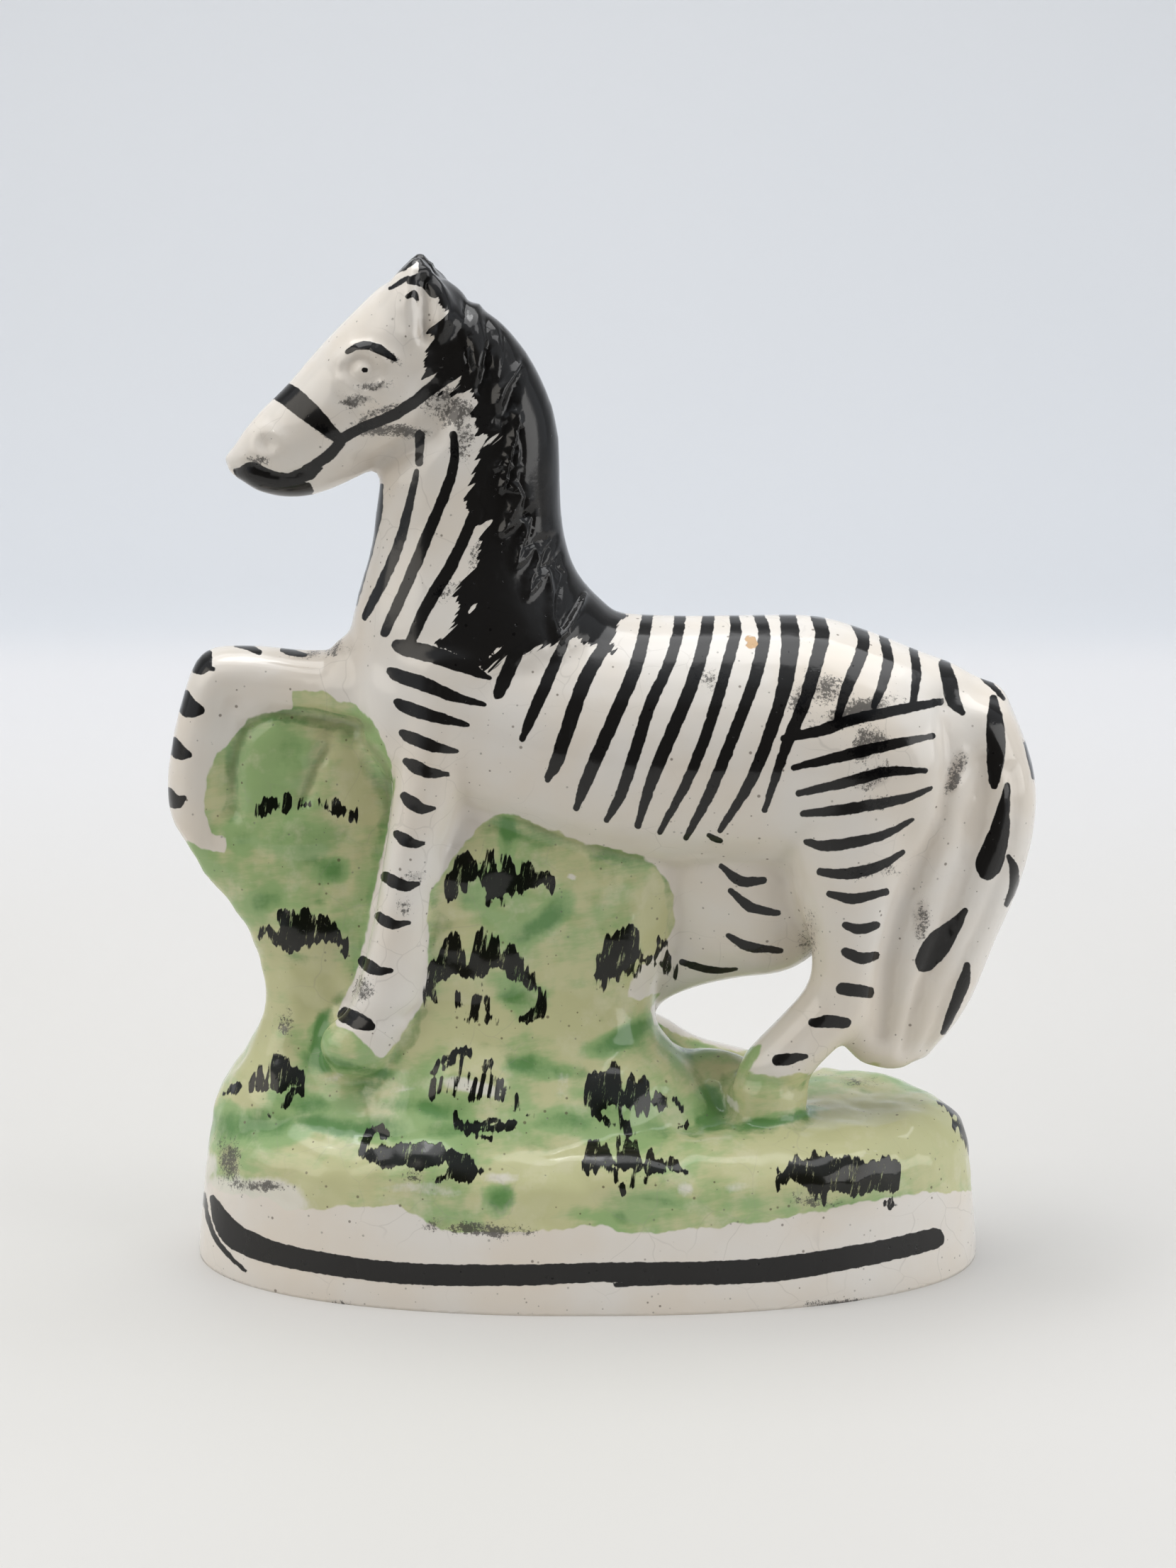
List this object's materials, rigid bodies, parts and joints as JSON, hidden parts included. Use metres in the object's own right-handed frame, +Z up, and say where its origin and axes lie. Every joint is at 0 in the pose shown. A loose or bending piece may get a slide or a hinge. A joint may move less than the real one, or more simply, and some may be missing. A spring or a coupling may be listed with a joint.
{
  "type": "zebra figurine",
  "caption": "Small glazed pottery zebra on an oval plinth, one foreleg raised, with leafy clay under it, black stripes and green washes.",
  "frame": {"origin": "middle of the plinth's underside, on the surface that it stands on", "axes": "+Z up, the zebra's head towards -X, its near side towards -Y"},
  "size_m": [0.1139, 0.05, 0.1328],
  "materials": {
    "glazed_earthenware": "gloss"
  },
  "bodies": {
    "root": {"zebra_figurine": "glazed_earthenware"}
  },
  "joints": []
}
